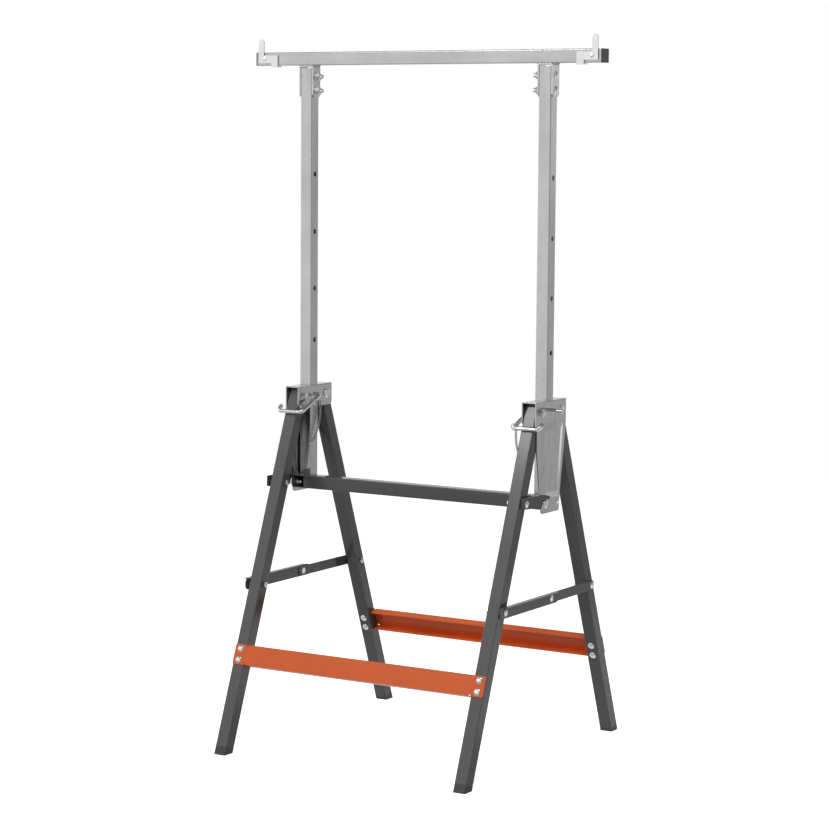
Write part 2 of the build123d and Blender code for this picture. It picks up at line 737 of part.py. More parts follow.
def make_rail(side, name):
    """Channel rail bolted across two legs, its flanges turned in between them."""
    flange_half = leg_inner_x - rail_flange_gap
    relief_x = flange_half - rail_relief_diameter / 2
    relief_y = rail_web / 2 - rail_sheet
    bolt_x = frame_half_spacing
    corners = [(x, y) for x in (-relief_x, relief_x) for y in (-relief_y, relief_y)]
    bolts = [(x, y) for x in (-bolt_x, bolt_x) for y in (-rail_bolt_spacing / 2, rail_bolt_spacing / 2)]
    with BuildPart() as rail:
        with BuildSketch(on_leg_face(side, 0, rail_along, half_tube)):
            RectangleRounded(2 * rail_half_length, rail_web, rail_corner_radius)
        extrude(amount=rail_sheet)
        with BuildSketch(on_leg_face(side, 0, rail_along, half_tube + rail_sheet)):
            with Locations((0, (rail_web - rail_sheet) / 2), (0, (rail_sheet - rail_web) / 2)):
                Rectangle(2 * flange_half, rail_sheet)
        extrude(amount=-rail_flange_depth)
        with BuildSketch(on_leg_face(side, 0, rail_along, half_tube + rail_sheet + cut_margin)):
            with Locations(*corners):
                Circle(rail_relief_diameter / 2)
        extrude(amount=-(rail_sheet + 2 * cut_margin), mode=Mode.SUBTRACT)
        with BuildSketch(on_leg_face(side, 0, rail_along, half_tube + rail_sheet + cut_margin)):
            with Locations(*bolts):
                Circle(small_bolt_diameter / 2 + bolt_clearance)
        extrude(amount=-(rail_sheet + 2 * cut_margin), mode=Mode.SUBTRACT)
    save(rail, name)


def make_frame_fasteners(side, end):
    """Rail bolts, stay bolts and spacers, hook bolts and spacers, and all nuts of one leg frame."""
    signs = hands.values()
    halves = (-rail_bolt_spacing / 2, rail_bolt_spacing / 2)
    rail_places = [(hand * frame_half_spacing, rail_along + half) for hand in signs for half in halves]
    rail_span = tube_width + rail_sheet
    rail_bolt = dome_bolt(small_bolt_diameter, rail_span + small_nut_height + small_thread_end,
                          small_dome_diameter, small_dome_height)
    nut = hex_nut(small_bolt_diameter, small_nut_flats, small_nut_height)
    stay_y, stay_z = leg_point(side, stay_along)
    if side < 0:
        head_planes = [on_leg_face(side, x, along, half_tube + rail_sheet) for x, along in rail_places]
        nut_planes = [on_leg_face(side, x, along, -half_tube, -1) for x, along in rail_places]
        stay_head_x = stay_outer_x
        stay_spacer = stay_front_x - leg_outer_x - side_clearance / 2
    else:
        head_planes = [on_leg_face(side, x, along, -half_tube, -1) for x, along in rail_places]
        nut_planes = [on_leg_face(side, x, along, half_tube + rail_sheet) for x, along in rail_places]
        stay_head_x = stay_rear_x + stay_sheet
        stay_spacer = stay_washer - side_clearance / 2
    nut_planes += [facing_in(hand, leg_inner_x, stay_y, stay_z) for hand in signs]
    tail = small_nut_height + small_thread_end - leg_inner_x
    head_gap = side_clearance / 2
    stay_bolt = dome_bolt(small_bolt_diameter, stay_head_x + head_gap + tail,
                          small_dome_diameter, small_dome_height)
    spacer = ring_washer(small_bolt_diameter + 2 * running_clearance, small_dome_diameter, stay_spacer)
    stay_planes = [facing_out(hand, stay_head_x + head_gap, stay_y, stay_z) for hand in signs]
    spacer_planes = [facing_out(hand, leg_outer_x, stay_y, stay_z) for hand in signs]
    save_group(rail_bolt, head_planes, f"{end}_rail_bolts")
    save_group(stay_bolt, stay_planes, f"{end}_stay_bolts")
    save_group(spacer, spacer_planes, f"{end}_stay_spacers")
    if side < 0:
        hook_y, hook_z = leg_point(side, hook_along)
        hook_bolt = dome_bolt(small_bolt_diameter, hook_outer_x + head_gap + tail,
                              small_dome_diameter, small_dome_height)
        hook_spacer = ring_washer(small_bolt_diameter + 2 * running_clearance, hook_spacer_diameter,
                                  hook_inner_x - leg_outer_x - head_gap)
        hook_planes = [facing_out(hand, hook_outer_x + head_gap, hook_y, hook_z) for hand in signs]
        hook_spacer_planes = [facing_out(hand, leg_outer_x, hook_y, hook_z) for hand in signs]
        save_group(hook_bolt, hook_planes, "hook_pivot_bolts")
        save_group(hook_spacer, hook_spacer_planes, "hook_spacers")
        nut_planes += [facing_in(hand, leg_inner_x, hook_y, hook_z) for hand in signs]
    save_group(nut, nut_planes, f"{end}_frame_nuts")


def make_hook(hand, name):
    """Locking hook on a front leg; its notch drops over the stud from above."""
    pivot_y, pivot_z = leg_point(-1, hook_along)
    notch_front = crossbar_y - stud_shoulder_diameter / 2 - side_clearance
    notch_top = stud_z + stud_shoulder_diameter / 2 + side_clearance
    bottom_z = notch_top - hook_notch_depth
    tail_y = pivot_y - hook_front_reach
    lobe_y = pivot_y + hook_rear_reach
    outline = [
        (tail_y, pivot_z + hook_upper_rise), (pivot_y + half_tube, pivot_z + hook_upper_rise),
        (crossbar_y, notch_top + hook_lobe_height + hook_crest), (lobe_y, notch_top + hook_lobe_height),
        (lobe_y, notch_top), (notch_front, notch_top), (notch_front - hook_notch_flare, bottom_z),
        (pivot_y + half_tube, pivot_z - hook_lower_drop - hook_belly), (tail_y, pivot_z - hook_lower_drop),
    ]
    with BuildPart() as hook:
        with BuildSketch(side_view(hand, hook_inner_x)) as plate:
            Polygon(*outline, align=None)
            fillet(plate.vertices().group_by(Axis.X)[0], hook_corner_radius)
            fillet(plate.vertices().group_by(Axis.X)[-1], hook_corner_radius / 2)
            fillet(nearest(plate, (notch_front, notch_top)), hook_corner_radius)
            with Locations((pivot_y, pivot_z)):
                Circle(small_bolt_diameter / 2 + running_clearance, mode=Mode.SUBTRACT)
        extrude(amount=hand * hook_sheet)
    save(hook, name)


def stay_plate(hand, x, start_y, end_y, height, holes):
    """Sketch of a stay's web in side view, round at both ends, with its two holes."""
    middle_y = (start_y + end_y) / 2
    stay_z = leg_point(1, stay_along)[1]
    with BuildSketch(side_view(hand, x)) as web:
        with Locations((middle_y, stay_z)):
            RectangleRounded(end_y - start_y, height, height / stay_height_per_end_radius)
        for y, radius in holes:
            with Locations((y, stay_z)):
                Circle(radius, mode=Mode.SUBTRACT)
    return web.sketch


def make_front_stay(hand, name):
    """Front half of a stay: flat bar with a top flange turned outwards."""
    pivot_y, stay_z = leg_point(-1, stay_along)
    start_y = pivot_y - stay_front_end
    end_y = stay_elbow_y + stay_front_tip
    holes = [(pivot_y, small_bolt_diameter / 2 + running_clearance),
             (stay_elbow_y, stay_rivet_diameter / 2 + running_clearance)]
    flange_z = stay_z + stay_front_height / 2
    with BuildPart() as stay:
        extrude(stay_plate(hand, stay_front_x, start_y, end_y, stay_front_height, holes),
                amount=hand * stay_sheet)
        with BuildSketch(Plane.XY.offset(flange_z)):
            with Locations((hand * (stay_front_x + (stay_sheet + stay_flange_width) / 2),
                            (start_y + end_y) / 2)):
                Rectangle(stay_sheet + stay_flange_width, end_y - start_y - stay_front_height)
        extrude(amount=-stay_sheet)
    save(stay, name)


def make_rear_stay(hand, name):
    """Rear half of a stay: plain flat bar in the layer inside the front half."""
    pivot_y = leg_point(1, stay_along)[0]
    holes = [(pivot_y, small_bolt_diameter / 2 + running_clearance),
             (stay_elbow_y, stay_rivet_diameter / 2 + running_clearance)]
    with BuildPart() as stay:
        extrude(stay_plate(hand, stay_rear_x, stay_elbow_y - stay_rear_tip, pivot_y + stay_rear_end,
                           stay_rear_height, holes), amount=hand * stay_sheet)
    save(stay, name)


def make_stay_rivets(hand, hand_name):
    """The two halves of the elbow rivet, one held by each half of the stay."""
    stay_z = leg_point(1, stay_along)[1]
    head = dome_bolt(stay_rivet_diameter, stay_sheet, stay_rivet_head_diameter, stay_rivet_head_height)
    with BuildPart() as tail:
        with BuildSketch():
            Circle(stay_rivet_head_diameter / 2)
        extrude(amount=stay_rivet_tail_height)
        with BuildSketch():
            Circle(stay_rivet_diameter / 2)
        extrude(amount=-stay_sheet)
    save_group(head, [facing_out(hand, stay_outer_x, stay_elbow_y, stay_z)], f"stay_rivet_{hand_name}")
    save_group(tail.part, [facing_in(hand, stay_rear_x, stay_elbow_y, stay_z)],
               f"stay_rivet_tail_{hand_name}")


def pin_rest():
    """Y and Z of the bail's front run, which rests on the face of the front leg."""
    return leg_point(-1, pin_rest_along, half_tube + pin_diameter / 2 + pin_rest_clearance)


def make_pin(hand, name):
    """Bent wire pin: a shank through bracket and post, and a bail that rests on the leg."""
    rest_y, rest_z = pin_rest()
    tip = (hand * pin_tip_x, 0, pin_z)
    with BuildPart() as pin:
        with BuildLine() as route:
            FilletPolyline(
                tip, (hand * pin_arm_x, 0, pin_z), (hand * pin_arm_x, rest_y, rest_z),
                (hand * pin_return_x, rest_y, rest_z),
                (hand * pin_return_x, rest_y + pin_return_run, rest_z + pin_return_rise),
                radius=pin_bend_radius,
            )
        with BuildSketch(Plane(origin=tip, z_dir=(-hand, 0, 0))):
            Circle(pin_diameter / 2)
        sweep(path=route.line)
        chamfer(pin.faces().sort_by(Axis.X)[-1 if hand > 0 else 0].edges(), pin_tip_chamfer)
        gap_plane = facing_out(hand, leg_inner_x - pin_post_clearance, 0, pin_z)
        with BuildSketch(gap_plane):
            Rectangle(2 * pin_diameter, 2 * pin_diameter)
        extrude(amount=tube_width + 2 * pin_post_clearance, mode=Mode.SUBTRACT)
    save(pin, name)


def chain_link(length, width, wire):
    """One closed link of round wire, lying flat with its length along X."""
    straight = length - width
    radius = (width - wire) / 2
    half = straight / 2
    with BuildPart() as link:
        with BuildLine() as loop:
            Line((-half, -radius), (half, -radius))
            ThreePointArc((half, -radius), (half + radius, 0), (half, radius))
            Line((half, radius), (-half, radius))
            ThreePointArc((-half, radius), (-half - radius, 0), (-half, -radius))
        with BuildSketch(Plane(origin=(-half, -radius, 0), z_dir=(1, 0, 0))):
            Circle(wire / 2)
        sweep(path=loop.line)
    return link.part


def make_chain(hand, hang, name):
    """Safety chain: a ring on the pin's arm and links that hang down and up to the bracket.

    hang holds the ring's share of the way along the arm, and the chain's lowest point: its Y and
    its drop below the head bolts.
    """
    share, bottom_y, bottom_drop = hang
    rest_y, rest_z = pin_rest()
    arm = Vector(0, rest_y, rest_z - pin_z).normalized()
    below_arm = Vector(0, -arm.Z, arm.Y)
    on_arm = Vector(hand * pin_arm_x, rest_y * share, pin_z + (rest_z - pin_z) * share)
    ring_radius = (ring_diameter - ring_wire) / 2
    ring_centre = on_arm + below_arm * (ring_radius - ring_wire / 2 - pin_diameter / 2 - ring_slack)
    hook_in = chain_link_length / 2 - chain_wire - chain_link_slack / 2
    top = ring_centre + below_arm * ring_radius - Vector(0, 0, hook_in - ring_wire / 2)
    eye_floor = chain_anchor_z - anchor_eye_radius
    end = Vector(hand * chain_anchor_x, chain_anchor_y, eye_floor - hook_in + chain_link_slack)
    bottom = ((top.X + end.X) / 2, bottom_y, head_bolt_z - bottom_drop)
    with BuildLine():
        drop = Spline(top, bottom, end, tangents=[(0, 0, -1), (0, 0, 1)])
    pitch = chain_link_length - 2 * chain_wire - chain_link_slack
    count = 2 * round(drop.length / pitch / 2)
    side_dir = Vector(0, 0, 1).cross(end - top).normalized()
    link = chain_link(chain_link_length, chain_link_width, chain_wire)
    planes = []
    for index in range(count + 1):
        along = drop % (index / count)
        z_dir = along.cross(side_dir) if index % 2 else side_dir
        planes.append(Plane(origin=drop @ (index / count), x_dir=along, z_dir=z_dir))
    with BuildPart() as chain:
        with Locations(*[plane.location for plane in planes]):
            add(link)
        ring_plane = Plane(origin=ring_centre, x_dir=(1, 0, 0), z_dir=arm)
        with BuildLine(ring_plane) as ring_path:
            CenterArc((0, 0), ring_radius, 0, 360)
        with BuildSketch(Plane(origin=ring_plane.from_local_coords((ring_radius, 0, 0)),
                               z_dir=ring_plane.y_dir)):
            Circle(ring_wire / 2)
        sweep(path=ring_path.line)
    save(chain, name)


make_beam()
for hand_name, hand in hands.items():
    make_beam_cap(hand, f"beam_cap_{hand_name}")
    make_saddle(hand, f"saddle_{hand_name}")
    make_post(hand, f"post_{hand_name}")
    make_stop(hand, f"stop_{hand_name}")
    make_head_bracket(hand, f"head_bracket_{hand_name}")
    make_hook(hand, f"hook_{hand_name}")
    make_front_stay(hand, f"stay_front_{hand_name}")
    make_rear_stay(hand, f"stay_rear_{hand_name}")
    make_stay_rivets(hand, hand_name)
    make_pin(hand, f"pin_{hand_name}")
    make_chain(hand, chain_hangs[hand_name], f"chain_{hand_name}")
make_saddle_welds()
make_saddle_fasteners()
make_stop_rivets()
make_head_bolts()
make_crossbar()
make_lock_studs()
for end, side in (("front", -1), ("rear", 1)):
    for hand_name, hand in hands.items():
        make_leg(hand, side, f"{end}_leg_{hand_name}")
        make_foot(hand, side, f"{end}_foot_{hand_name}")
    make_rail(side, f"{end}_rail")
    make_frame_fasteners(side, end)
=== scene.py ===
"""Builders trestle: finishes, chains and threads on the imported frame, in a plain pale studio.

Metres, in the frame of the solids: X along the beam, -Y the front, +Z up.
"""
from math import cos, pi, radians, sin, tau

import bpy
from mathutils import Matrix, Vector


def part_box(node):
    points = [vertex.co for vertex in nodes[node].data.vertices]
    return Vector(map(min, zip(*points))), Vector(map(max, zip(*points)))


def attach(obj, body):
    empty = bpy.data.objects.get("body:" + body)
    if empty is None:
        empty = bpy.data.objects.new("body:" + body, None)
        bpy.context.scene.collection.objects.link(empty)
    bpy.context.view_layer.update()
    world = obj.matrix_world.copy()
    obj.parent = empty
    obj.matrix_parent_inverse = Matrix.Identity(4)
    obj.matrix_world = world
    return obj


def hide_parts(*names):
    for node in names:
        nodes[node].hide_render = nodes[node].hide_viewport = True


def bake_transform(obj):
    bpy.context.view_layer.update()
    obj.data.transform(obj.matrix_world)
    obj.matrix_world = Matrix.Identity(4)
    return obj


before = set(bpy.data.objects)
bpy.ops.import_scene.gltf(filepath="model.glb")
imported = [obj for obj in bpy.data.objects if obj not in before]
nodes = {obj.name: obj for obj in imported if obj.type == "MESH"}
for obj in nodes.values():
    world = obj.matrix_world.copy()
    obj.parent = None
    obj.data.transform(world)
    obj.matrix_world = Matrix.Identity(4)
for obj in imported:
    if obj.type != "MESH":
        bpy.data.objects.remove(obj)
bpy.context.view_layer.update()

MM = 0.001
HANDS = {"left": -1, "right": 1}


LEG_ANGLE = radians(20.7)
EDGE_RADIUS = 0.7 * MM
FLOOR_Z = 0.0


def srgb(red, green, blue):
    """Linear colour of an 8-bit screen colour."""
    def linear(value):
        share = value / 255
        return share / 12.92 if share <= 0.04045 else ((share + 0.055) / 1.055) ** 2.4
    return (linear(red), linear(green), linear(blue), 1.0)


class Signal:
    """A node's output socket; arithmetic on it adds Math nodes."""

    def __init__(self, finish, socket):
        self.finish = finish
        self.socket = socket

    def math(self, operation, *others, clamp=False):
        values = {0: self}
        for index, other in enumerate(others):
            values[index + 1] = other
        return self.finish.node("ShaderNodeMath", {"operation": operation, "use_clamp": clamp}, values)

    def flipped(self, operation, other):
        return self.finish.node("ShaderNodeMath", {"operation": operation}, {0: other, 1: self})

    def __add__(self, other):
        return self.math("ADD", other)

    def __sub__(self, other):
        return self.math("SUBTRACT", other)

    def __rsub__(self, other):
        return self.flipped("SUBTRACT", other)

    def __mul__(self, other):
        return self.math("MULTIPLY", other)

    def __truediv__(self, other):
        return self.math("DIVIDE", other)

    def __pow__(self, other):
        return self.math("POWER", other)

    def __abs__(self):
        return self.math("ABSOLUTE")

    __radd__ = __add__
    __rmul__ = __mul__


class Finish:
    """The node tree of one material."""

    def __init__(self, tree):
        self.tree = tree
        tree.nodes.clear()

    def node(self, kind, settings=None, values=None, output=0):
        """Adds a node: its settings first, then its sockets' values or links."""
        made = self.tree.nodes.new(kind)
        for name, value in (settings or {}).items():
            if name == "stops":
                ramp = made.color_ramp.elements
                while len(ramp) < len(value):
                    ramp.new(1.0)
                for stop, (position, level) in zip(ramp, value):
                    stop.position = position
                    stop.color = (level, level, level, 1)
            else:
                setattr(made, name, value)
        for name, value in (values or {}).items():
            if isinstance(value, Signal):
                self.tree.links.new(value.socket, made.inputs[name])
            else:
                made.inputs[name].default_value = value
        return Signal(self, made.outputs[output]) if made.outputs else None

    def place(self, stretch=(1, 1, 1), turn=(0, 0, 0)):
        """Rest coordinates of the piece in metres, turned and then stretched."""
        here = self.node("ShaderNodeTexCoord", output="Object")
        turned = self.node("ShaderNodeMapping", values={"Vector": here, "Rotation": turn})
        return self.node("ShaderNodeMapping", values={"Vector": turned, "Scale": stretch})

    def noise(self, vector, scale, detail=3.0, roughness=0.5):
        return self.node("ShaderNodeTexNoise", values={
            "Vector": vector, "Scale": scale, "Detail": detail, "Roughness": roughness})

    def band(self, signal, low, high):
        """0 below low, 1 above high, smooth between them."""
        return self.node("ShaderNodeMapRange", {"interpolation_type": "SMOOTHSTEP"}, {
            "Value": signal, "From Min": low, "From Max": high})

    def between(self, factor, first, second):
        """Colour between two colours."""
        return self.node("ShaderNodeMix", {"data_type": "RGBA"}, {0: factor, 6: first, 7: second},
                         output=2)

    def edges(self, turn):
        """1 on corners that are rounded between the piece's own flat sides, 0 on the sides."""
        normal = self.node("ShaderNodeTexCoord", output="Normal")
        turned = self.node("ShaderNodeMapping", {"vector_type": "NORMAL"},
                           {"Vector": normal, "Rotation": turn})
        size = self.node("ShaderNodeVectorMath", {"operation": "ABSOLUTE"}, {0: turned})
        parts = self.node("ShaderNodeSeparateXYZ", values={0: size})
        across = Signal(self, parts.socket.node.outputs[1])
        along = Signal(self, parts.socket.node.outputs[2])
        largest = parts.math("MAXIMUM", across).math("MAXIMUM", along)
        return self.band(largest, 0.985, 0.80)

    def bump(self, height, depth):
        """Normal of a surface with softened edges, whose height runs over depth metres."""
        soft = self.node("ShaderNodeBevel", {"samples": 6}, {"Radius": EDGE_RADIUS})
        return self.node("ShaderNodeBump", values={
            "Height": height, "Distance": depth, "Strength": 1.0, "Normal": soft})

    def surface(self, **values):
        """The piece's Principled shader, wired to the output."""
        named = {key.replace("_", " "): value for key, value in values.items()}
        shader = self.node("ShaderNodeBsdfPrincipled", values=named)
        self.node("ShaderNodeOutputMaterial", values={"Surface": shader})


def material(name):
    made = bpy.data.materials.new(name)
    made.use_nodes = True
    return made, Finish(made.node_tree)


def toned(colour, share):
    """A colour made lighter or darker by a share."""
    return tuple(min(channel * share, 1.0) for channel in colour[:3]) + (1,)


def galvanised(name, colour, stretch, turn=(0, 0, 0), roughness=0.20, wander=0.10):
    """Zinc-dipped steel: smooth, with drawn lines along the piece, soft clouds and dull spots."""
    made, zinc = material(name)
    lines = zinc.noise(zinc.place(stretch, turn), 90.0, detail=4.0)
    clouds = zinc.noise(zinc.place(), 11.0, detail=4.0, roughness=0.55)
    grit = zinc.noise(zinc.place(), 420.0, detail=3.0, roughness=0.6)
    spots = zinc.band(zinc.noise(zinc.place(), 70.0, detail=3.0), 0.63, 0.74)
    corner_mask = zinc.edges(turn)
    tone = zinc.band(clouds * 0.55 + lines * 0.30 + grit * 0.15, 0.34, 0.66)
    ground = zinc.between(tone, toned(colour, 0.90), toned(colour, 1.07))
    zinc.surface(
        Base_Color=zinc.between(spots * 0.35, ground, toned(colour, 0.74)),
        Metallic=1.0,
        Roughness=roughness + (clouds - 0.5) * wander + (lines - 0.5) * 0.08 + spots * 0.10 - corner_mask * 0.04,
        Normal=zinc.bump(lines * 0.7 + grit * 0.3, 0.000012),
    )
    return made


def painted(name, colour, turn=(0, 0, 0), roughness=0.15, gloss=0.5):
    """Glossy powder coat: fine orange peel, paler on corners as paint wear plus a painted highlight, dull scuffs
    here and there.
    """
    made, coat = material(name)
    peel = coat.noise(coat.place(), 700.0, detail=2.0)
    cloud = coat.noise(coat.place(), 9.0, detail=4.0, roughness=0.6)
    scuff = coat.band(coat.noise(coat.place((1, 1, 0.25)), 160.0, detail=6.0, roughness=0.75), 0.66, 0.74)
    corner_mask = coat.edges(turn)
    # Corners go paler: partly paint worn thin there, partly a painted highlight standing in for edges catching
    # the light.
    wear_and_highlight_colour = tuple(min(channel * 1.25 + 0.010, 1.0) for channel in colour[:3]) + (1,)
    ground = coat.between(coat.band(cloud, 0.35, 0.65), toned(colour, 0.94), toned(colour, 1.06))
    wear_and_highlight_mask = (corner_mask * 0.50 + scuff * 0.22).math("MINIMUM", 1.0)
    coat.surface(
        Base_Color=coat.between(wear_and_highlight_mask, ground, wear_and_highlight_colour),
        Roughness=roughness + (cloud - 0.5) * 0.10 + scuff * 0.14,
        Normal=coat.bump(peel, 0.00002),
        **{"Specular IOR Level": gloss},
    )
    return made


def plated(name, colour, roughness=0.18):
    """Bright zinc plate on small parts: fine turning marks and soft smudges."""
    made, plate = material(name)
    smudge = plate.noise(plate.place(), 70.0, detail=4.0)
    grit = plate.noise(plate.place(), 1500.0, detail=2.0)
    plate.surface(
        Base_Color=plate.between(plate.band(smudge, 0.3, 0.7), toned(colour, 0.84), colour),
        Metallic=1.0,
        Roughness=roughness + (smudge - 0.5) * 0.14,
        Normal=plate.bump(grit, 0.00002),
    )
    return made


def moulded(name, colour, roughness=0.50):
    """Moulded plastic with a fine spark-eroded grain."""
    made, plastic = material(name)
    grain = plastic.noise(plastic.place(), 1300.0, detail=2.0)
    cloud = plastic.noise(plastic.place(), 35.0, detail=4.0)
    plastic.surface(
        Base_Color=plastic.between(plastic.band(cloud, 0.35, 0.65), toned(colour, 0.88), toned(colour, 1.12)),
        Roughness=roughness + (cloud - 0.5) * 0.15,
        Normal=plastic.bump(grain, 0.00006),
    )
    return made


front_tilt = (-LEG_ANGLE, 0, 0)
rear_tilt = (LEG_ANGLE, 0, 0)
silver = srgb(198, 198, 199)
along_x = (0.06, 1, 1)
along_z = (1, 1, 0.06)
beam_zinc = galvanised("galvanised_beam", silver, along_x)
post_zinc = galvanised("galvanised_post", silver, along_z)
bracket_zinc = galvanised("galvanised_bracket", srgb(199, 199, 200), (1, 1, 0.3), roughness=0.17)
saddle_zinc = galvanised("galvanised_saddle", srgb(212, 212, 213), (1, 1, 0.3), roughness=0.22)
stop_zinc = galvanised("bright_stop_zinc", srgb(235, 235, 236), (1, 1, 0.3), roughness=0.28)
bright_zinc = plated("bright_zinc", srgb(235, 236, 238), roughness=0.12)
chain_zinc = plated("chain_zinc", srgb(190, 191, 192), roughness=0.3)
grey = srgb(77, 77, 77)
front_leg_paint = painted("grey_paint_front_legs", grey, front_tilt)
rear_leg_paint = painted("grey_paint_rear_legs", grey, rear_tilt)
flat_paint = painted("grey_paint_flat", grey)
orange = srgb(205, 90, 38)
front_rail_paint = painted("orange_paint_front", orange, front_tilt, gloss=0.3)
# The rear rail gets a lighter copy of the same orange paint, set for how light falls in its channel: painted
# light, not a different paint.
rear_rail_paint_lightened = painted("orange_paint_rear_lightened", srgb(224, 98, 42), rear_tilt, gloss=0.3)
black_plastic = moulded("dark_plastic", srgb(62, 62, 62))

FINISHES = {
    beam_zinc: ["beam"],
    post_zinc: ["post_left", "post_right"],
    bracket_zinc: ["head_bracket_left", "head_bracket_right"],
    saddle_zinc: ["saddle_left", "saddle_right"],
    stop_zinc: ["stop_left", "stop_right"],
    bright_zinc: [
        "saddle_bolts", "saddle_washers", "saddle_nuts", "stop_rivets", "head_bolts_front",
        "head_bolts_rear", "head_nuts_front", "hook_studs", "hook_stud_nuts", "lug_rivets", "pin_left",
        "pin_right", "front_rail_bolts", "rear_rail_bolts", "front_stay_bolts", "rear_stay_bolts",
        "front_stay_spacers", "rear_stay_spacers", "hook_pivot_bolts", "hook_spacers",
        "front_frame_nuts", "rear_frame_nuts", "stay_rivet_left", "stay_rivet_right",
        "stay_rivet_tail_left", "stay_rivet_tail_right",
    ],
    front_leg_paint: ["front_leg_left", "front_leg_right"],
    rear_leg_paint: ["rear_leg_left", "rear_leg_right"],
    flat_paint: [
        "crossbar", "hook_left", "hook_right", "stay_front_left", "stay_front_right",
        "stay_rear_left", "stay_rear_right",
    ],
    front_rail_paint: ["front_rail"],
    rear_rail_paint_lightened: ["rear_rail"],
    black_plastic: [
        "beam_cap_left", "beam_cap_right", "front_foot_left", "front_foot_right", "rear_foot_left",
        "rear_foot_right",
    ],
}
for finish, names in FINISHES.items():
    for name in names:
        for spot in nodes[name].material_slots:
            spot.material = finish


def lay(name, points, faces, finish, smooth=True):
    """A mesh piece from points and faces, with its finish."""
    mesh = bpy.data.meshes.new(name)
    mesh.from_pydata([tuple(point) for point in points], [], faces)
    mesh.update()
    mesh.materials.append(finish)
    for face in mesh.polygons:
        face.use_smooth = smooth
    piece = bpy.data.objects.new(name, mesh)
    bpy.context.scene.collection.objects.link(piece)
    return piece


def round_wire(path, radius, sides=12, closed=True):
    """Points and faces of a round wire along a closed or open path."""
    points, faces = [], []
    count = len(path)
    side = None
    for index, here in enumerate(path):
        ahead = path[(index + 1) % count] if closed or index + 1 < count else here
        behind = path[index - 1] if closed or index else here
        forward = (ahead - behind).normalized()
        if side is None:
            side = forward.orthogonal().normalized()
        side = (side - forward * side.dot(forward)).normalized()
        other = forward.cross(side)
        for step in range(sides):
            angle = tau * step / sides
            points.append(here + radius * (cos(angle) * side + sin(angle) * other))
    for index in range(count if closed else count - 1):
        first = index * sides
        second = ((index + 1) % count) * sides
        for step in range(sides):
            after = (step + 1) % sides
            faces.append((first + step, first + after, second + after, second + step))
    if not closed:
        faces.append(tuple(reversed(range(sides))))
        faces.append(tuple(range((count - 1) * sides, count * sides)))
    return points, faces


def thread(start, way, radius, length, pitch=1.25 * MM, sides=28):
    """Points and faces of a bolt's thread: V grooves around an axis, closed at both ends."""
    side = way.orthogonal().normalized()
    other = way.cross(side)
    rows = int(length / pitch * 4)
    points, faces = [], []
    for row in range(rows + 1):
        for step in range(sides):
            angle = tau * step / sides
            turn = (row / 4 + step / sides) % 1.0
            depth = abs(turn - 0.5) * 2
            reach = radius + (0.22 - 0.5 * depth) * MM
            spot = start + way * length * row / rows
            points.append(spot + reach * (cos(angle) * side + sin(angle) * other))
    for row in range(rows):
        for step in range(sides):
            after = (step + 1) % sides
            faces.append((row * sides + step, row * sides + after,
                          (row + 1) * sides + after, (row + 1) * sides + step))
    faces.append(tuple(reversed(range(sides))))
    faces.append(tuple(range(rows * sides, (rows + 1) * sides)))
    return points, faces


for hand_name, hand in HANDS.items():
    inward = Vector((-hand, 0, 0))
    for count, z in enumerate((1253.5 * MM, 1227 * MM)):
        tail = lay(f"saddle_thread_{hand_name}_{count + 1}",
                   *thread(Vector((hand * 233.35 * MM, 0, z)), inward, 4 * MM, 5.6 * MM), bright_zinc)
        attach(tail, "upper_frame")
    stud = lay(f"stud_thread_{hand_name}",
               *thread(Vector((hand * 260.8 * MM, -26 * MM, 480.5 * MM)), inward, 4 * MM, 6.6 * MM),
               bright_zinc)
    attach(stud, "head_frame")


WIRE = 1.3 * MM
LINK_LENGTH = 8.4 * MM
LINK_WIDTH = 5.0 * MM
LINK_SLACK = 0.8 * MM
RING_WIRE = 1.8 * MM
RING_DIAMETER = 17 * MM
RING_SLACK = 0.3 * MM
PIN_DIAMETER = 8 * MM
PIN_Z = 0.649
ANCHOR = Vector((0, 14 * MM, 633 * MM))
ANCHOR_RADIUS = 1.8 * MM
HANGS = {"left": (0.4, -24 * MM, 560 * MM), "right": (0.9, -26 * MM, 566 * MM)}


def link_path(centre, along, across, steps=8):
    """Centre line of one link: two straight sides and two round ends."""
    radius = (LINK_WIDTH - WIRE) / 2
    half = (LINK_LENGTH - LINK_WIDTH) / 2
    path = []
    for end in (1, -1):
        for step in range(steps + 1):
            angle = pi * step / steps - pi / 2
            path.append(centre + end * (along * (half + radius * cos(angle)) + across * radius * sin(angle)))
    return path


def sag(top, bottom, end, steps=240):
    """Points of a hanging line through three points, straight down at both ends."""
    down = Vector((0, 0, -1))
    first = (top - bottom).length * 0.62
    second = (end - bottom).length * 0.62
    level = (end - top).normalized()
    flat = Vector((level.x, level.y, 0)) * (end - top).length * 0.30
    points = []
    for start, out_pull, in_pull, stop in (
            (top, down * first, -flat, bottom), (bottom, flat, down * second, end)):
        for step in range(steps):
            t = step / steps
            points.append((1 - t) ** 3 * start + 3 * (1 - t) ** 2 * t * (start + out_pull)
                          + 3 * (1 - t) * t ** 2 * (stop + in_pull) + t ** 3 * stop)
    points.append(end)
    return points


def along_line(points, share):
    """Point and direction at a share of a line's length."""
    lengths = [0.0]
    for before, after in zip(points, points[1:]):
        lengths.append(lengths[-1] + (after - before).length)
    want = share * lengths[-1]
    for index, (before, after) in enumerate(zip(lengths, lengths[1:])):
        if after >= want:
            part = (want - before) / (after - before)
            way = points[index + 1] - points[index]
            return points[index] + way * part, way.normalized(), lengths[-1]
    return points[-1], (points[-1] - points[-2]).normalized(), lengths[-1]


